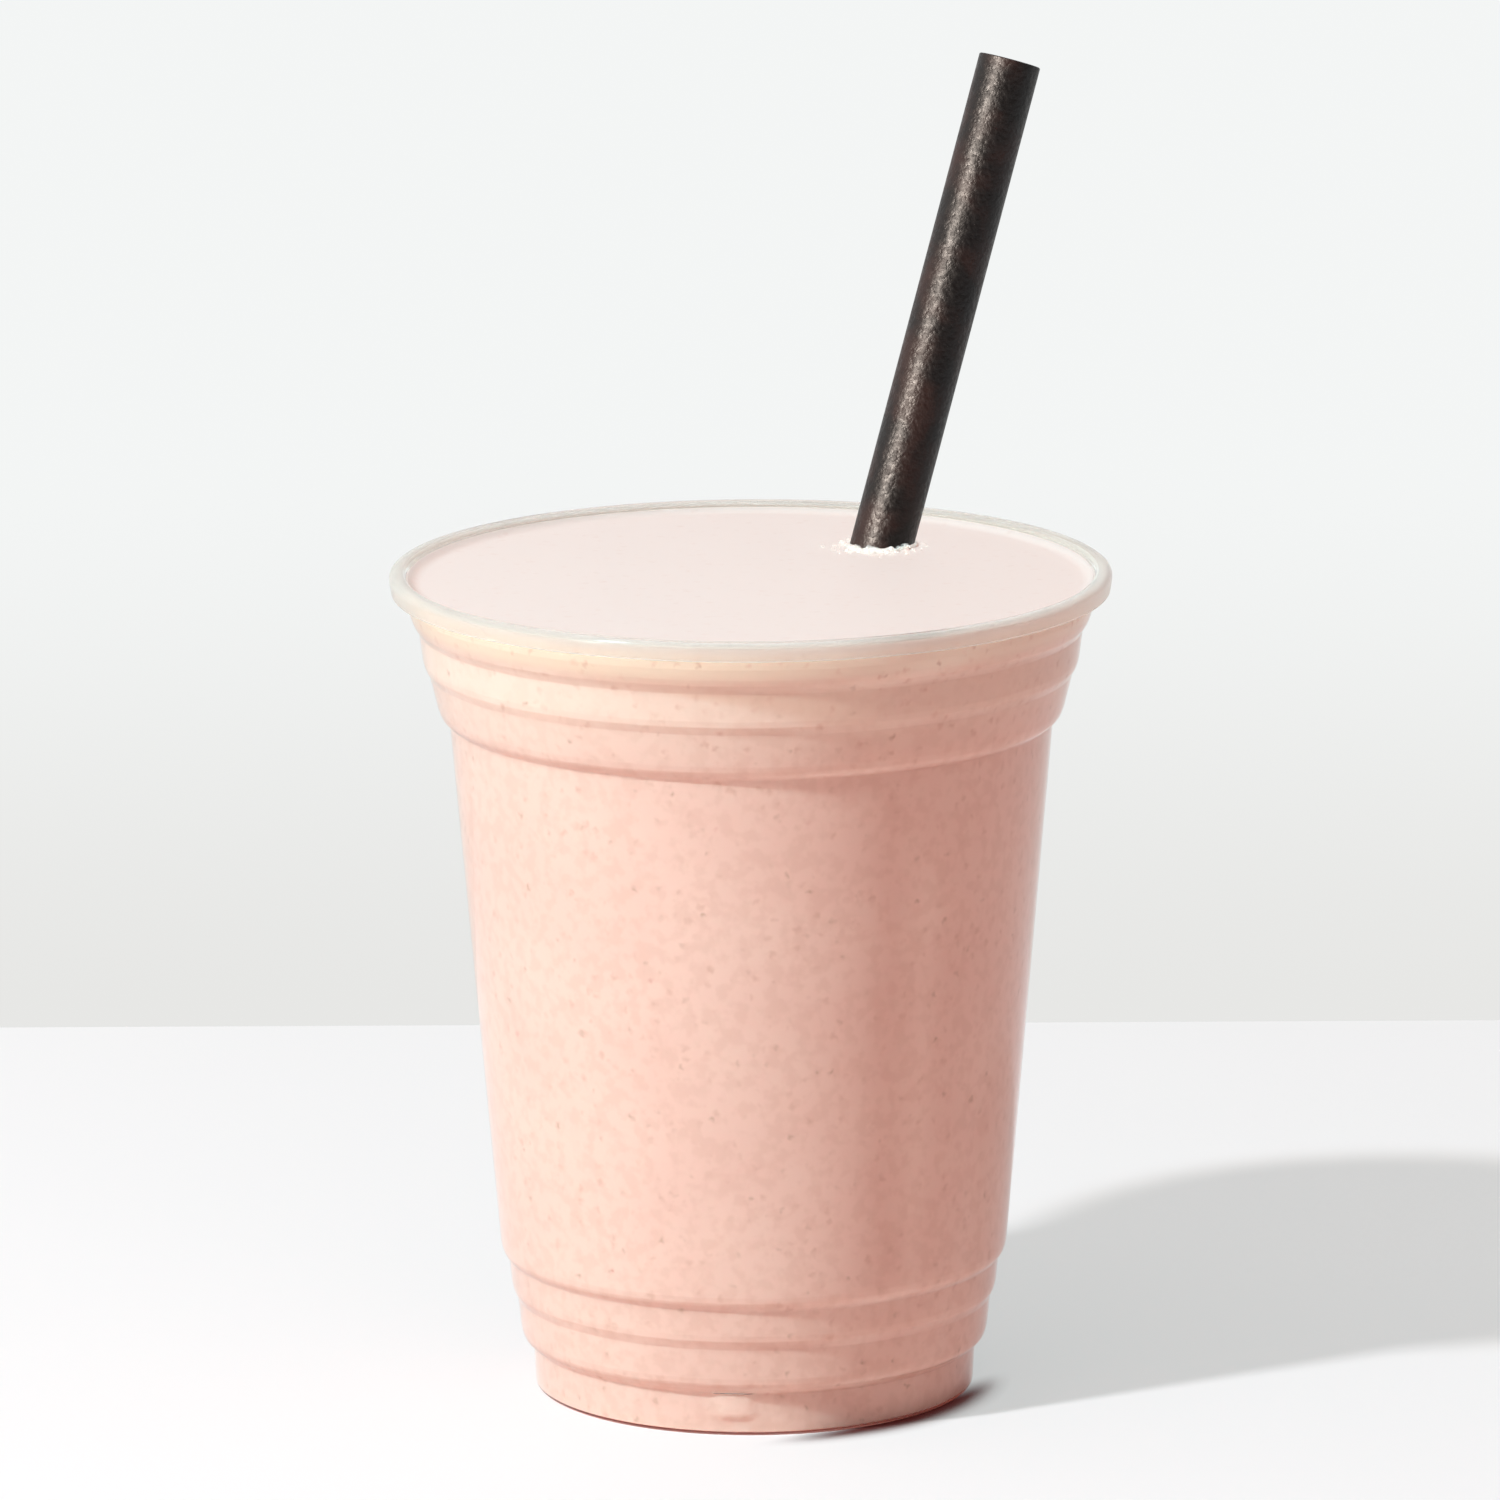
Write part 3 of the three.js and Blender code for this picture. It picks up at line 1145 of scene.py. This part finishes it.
@dataclass
class Studio:
    """The pale table, the pale room, the lights and the camera. Sizes in metres, angles in degrees."""

    camera_distance: float = 1.730
    camera_height: float = 0.470
    camera_pitch: float = 12.44
    camera_yaw: float = -0.0065
    camera_roll: float = -0.28
    focal_pixels: float = 13037.0
    image_pixels: float = 1500.0
    sensor: float = 36.0
    table_back: float = 0.2065
    table_reach: float = 4.0
    table_thickness: float = 0.03
    table_gap: float = 0.00004
    table_cloud_scale: float = 3.0
    table_shade: float = 0.97
    table_colour: Colour = (0.70, 0.44, 0.435)
    table_glow: Colour = (0.26, 0.455, 0.466)
    table_fills: Colour = (0.99, 0.95, 0.91)
    fill_glow: Colour = (0.42, 0.19, 0.17)
    # Painted shade: a dark red-brown colour and glow laid on the table in the crevice under the cup, on its
    # unlit side.
    crevice_painted_shade: Colour = (0.08, 0.015, 0.012)
    crevice_painted_shade_glow: Colour = (0.03, 0.005, 0.005)
    crevice_reach: float = 0.0055
    crevice_cover: tuple[float, float] = (0.98, 0.58)
    crevice_way: tuple[float, float, float] = (0.743, -0.669, 0.0)
    crevice_edge: tuple[float, float] = (0.0222, 0.0285)
    wall_low: Colour = (0.80, 0.80, 0.785)
    wall_high: Colour = (0.90, 0.915, 0.91)
    wall_change: tuple[float, float] = (-0.236, -0.192)
    fill_side: Colour = (0.24, 0.175, 0.155)
    fill_above: Colour = (0.68, 0.53, 0.49)
    fill_change: tuple[float, float] = (0.1, 0.9)
    front: Colour = (0.06, 0.055, 0.05)
    front_change: tuple[float, float] = (0.1, -0.3)
    lamp_aim: tuple[float, float, float] = (0.0, 0.0, 0.06)
    key_place: tuple[float, float, float] = (-0.813, -0.611, 1.096)
    key_watts: float = 21.5
    key_size: float = 0.09
    key_colour: Colour = (0.60, 0.955, 1.0)
    side_place: tuple[float, float, float] = (-0.97, -0.96, 0.67)
    side_watts: float = 62.0
    side_colour: Colour = (1.0, 0.88, 0.78)
    side_size: float = 0.16

    def table(self) -> bpy.types.Object:
        """Models the table top, whose back edge shows behind the cup.

        Returns:
            The table's mesh.
        """
        deselect_everything()
        bpy.ops.mesh.primitive_plane_add(size=1.0)
        piece = bpy.context.object
        piece.name = piece.data.name = "table_top"
        piece.scale = (2 * self.table_reach, self.table_reach + self.table_back, 1.0)
        piece.location = (0.0, (self.table_back - self.table_reach) / 2, -self.table_gap)
        apply_place(piece)
        bpy.ops.object.mode_set(mode="EDIT")
        bpy.ops.mesh.select_all(action="SELECT")
        bpy.ops.mesh.extrude_region_move(TRANSFORM_OT_translate={"value": (0, 0, -self.table_thickness)})
        bpy.ops.mesh.select_all(action="SELECT")
        bpy.ops.mesh.normals_make_consistent(inside=False)
        bpy.ops.object.mode_set(mode="OBJECT")
        piece.data.materials.append(self._table_material())
        return piece

    def _table_material(self) -> bpy.types.Material:
        """The table's pale finish, which glows a little, has its own colours for the light it throws back,
        and has a painted shade in the crevice under the cup.

        Returns:
            The finished material.
        """
        material, nodes, shader = new_material("pale table")
        clouds = nodes.between(nodes.noise(nodes.place_on_piece(), self.table_cloud_scale), 0.3, 0.7)
        darker = tuple(self.table_shade * part for part in self.table_colour)
        bounces = nodes.between(nodes.add("ShaderNodeLightPath").outputs["Diffuse Depth"], 0.0, 1.0)
        # Painted shade in the crevice under the cup, in both the colour and the glow.
        painted_crevice_shade = self._painted_crevice_shade(nodes)
        colour = nodes.blend(bounces, nodes.blend(clouds, darker, self.table_colour), self.table_fills)
        nodes.link(nodes.blend(painted_crevice_shade, colour, self.crevice_painted_shade), shader.inputs["Base Color"])
        shader.inputs["Roughness"].default_value = 0.9
        shader.inputs["Specular IOR Level"].default_value = 0.1
        shader.inputs["Emission Strength"].default_value = 1.0
        glow = nodes.blend(bounces, self.table_glow, self.fill_glow)
        glow = nodes.blend(painted_crevice_shade, glow, self.crevice_painted_shade_glow)
        nodes.link(glow, shader.inputs["Emission Color"])
        return material

    def _painted_crevice_shade(self, nodes: Nodes) -> bpy.types.NodeSocket:
        """The painted shade where the table lies close under the cup, on the side where least light reaches
        it.

        Args:
            nodes: the table's nodes.

        Returns:
            The share of painted shade, from 0 to 1.
        """
        close = nodes.add("ShaderNodeAmbientOcclusion", samples=8)
        close.inputs["Distance"].default_value = self.crevice_reach
        covered = nodes.between(close.outputs["AO"], *self.crevice_cover)
        away = nodes.add("ShaderNodeVectorMath", operation="DOT_PRODUCT")
        nodes.link(nodes.place_on_piece(), away.inputs[0])
        away.inputs[1].default_value = self.crevice_way
        return nodes.times(covered, nodes.between(away.outputs["Value"], *self.crevice_edge))

    def room(self) -> None:
        """Lights the room evenly, in front of a pale wall that is a little darker low down."""
        world = bpy.data.worlds.new("pale room")
        world.use_nodes = True
        bpy.context.scene.world = world
        nodes = Nodes(world.node_tree)
        way = nodes.add("ShaderNodeSeparateXYZ")
        nodes.link(nodes.add("ShaderNodeTexCoord").outputs["Generated"], way.inputs[0])
        up = nodes.between(way.outputs["Z"], *self.wall_change)
        wall = nodes.blend(up, self.wall_low, self.wall_high)
        above = nodes.between(way.outputs["Z"], *self.fill_change)
        fill = nodes.blend(above, self.fill_side, self.fill_above)
        ray = nodes.add("ShaderNodeLightPath")
        ahead = nodes.between(way.outputs["Y"], *self.front_change)
        mirrored = nodes.blend(nodes.times(ahead, ray.outputs["Is Glossy Ray"]), wall, self.front)
        lights = nodes.between(ray.outputs["Diffuse Depth"], 0.0, 1.0)
        background = world.node_tree.nodes["Background"]
        nodes.link(nodes.blend(lights, mirrored, fill), background.inputs["Color"])

    def lamp(
        self,
        name: str,
        place: tuple[float, float, float],
        watts: float,
        size: float,
        colour: Colour,
        only: bpy.types.Object | None = None,
    ) -> bpy.types.Object:
        """Adds a round lamp that points at the middle of the cup.

        Args:
            name: the lamp's name.
            place: where it hangs, in metres.
            watts: how strong it is.
            size: its diameter, in metres.
            colour: its light's colour.
            only: the one object that it lights, or None for all of them.

        Returns:
            The lamp.
        """
        data = bpy.data.lights.new(name, "AREA")
        data.shape = "DISK"
        data.size = size
        data.energy = watts
        data.color = colour
        light = bpy.data.objects.new(name, data)
        bpy.context.collection.objects.link(light)
        light.location = place
        light.rotation_euler = (Vector(self.lamp_aim) - Vector(place)).to_track_quat("-Z", "Y").to_euler()
        if only is not None:
            lit = bpy.data.collections.new(f"lit by {name}")
            lit.objects.link(only)
            light.light_linking.receiver_collection = lit
        return light

    def lamps(self, straw: bpy.types.Object) -> None:
        """Adds the key light, and a small light that draws the shine on the straw.

        Args:
            straw: the straw.
        """
        key = self.lamp("key light", self.key_place, self.key_watts, self.key_size, self.key_colour)
        key.visible_glossy = False
        self.lamp("side light", self.side_place, self.side_watts, self.side_size, self.side_colour, straw)

    def camera(self) -> bpy.types.Object:
        """Adds the camera at the photograph's place.

        Returns:
            The camera.
        """
        data = bpy.data.cameras.new("camera")
        data.sensor_width = self.sensor
        data.lens = self.focal_pixels * self.sensor / self.image_pixels
        camera = bpy.data.objects.new("camera", data)
        bpy.context.collection.objects.link(camera)
        pitch, yaw, roll = map(math.radians, (self.camera_pitch, self.camera_yaw, self.camera_roll))
        ahead = Vector((math.sin(yaw) * math.cos(pitch), math.cos(yaw) * math.cos(pitch), -math.sin(pitch)))
        level_right = Vector((math.cos(yaw), -math.sin(yaw), 0.0))
        level_up = level_right.cross(ahead)
        right = level_right * math.cos(roll) + level_up * math.sin(roll)
        up = level_up * math.cos(roll) - level_right * math.sin(roll)
        turn = Matrix((right, up, -ahead)).transposed().to_4x4()
        camera.matrix_world = Matrix.Translation((0.0, -self.camera_distance, self.camera_height)) @ turn
        bpy.context.scene.camera = camera
        return camera


def main() -> None:
    """Builds the pieces in order and reports each one."""
    logging.basicConfig(level=logging.INFO, format="%(message)s")
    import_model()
    studio = Studio()
    studio.camera()
    studio.table()
    studio.room()
    bpy.context.scene.view_settings.view_transform = "Standard"
    form = CupForm()
    cup, drink, straw = ClearCup(form), Milkshake(form), Straw()
    froth = Froth(straw, drink.level)

    cup_piece = cup.model()
    cup.dress(cup_piece, ClearPlasticFinish())
    drink_piece = drink.model()
    drink.dress(drink_piece, ShakeFinish())
    straw_piece = straw.model()
    straw.dress(straw_piece, StrawFinish())
    studio.lamps(straw_piece)
    collar, cluster = froth.collar(), froth.bubble_cluster()
    froth.dress(collar, cluster)
    for piece in (cup_piece, drink_piece, straw_piece, collar, cluster):
        LOG.info("%s: %d faces", piece.name, len(piece.data.polygons))


if __name__ == "__main__":
    main()
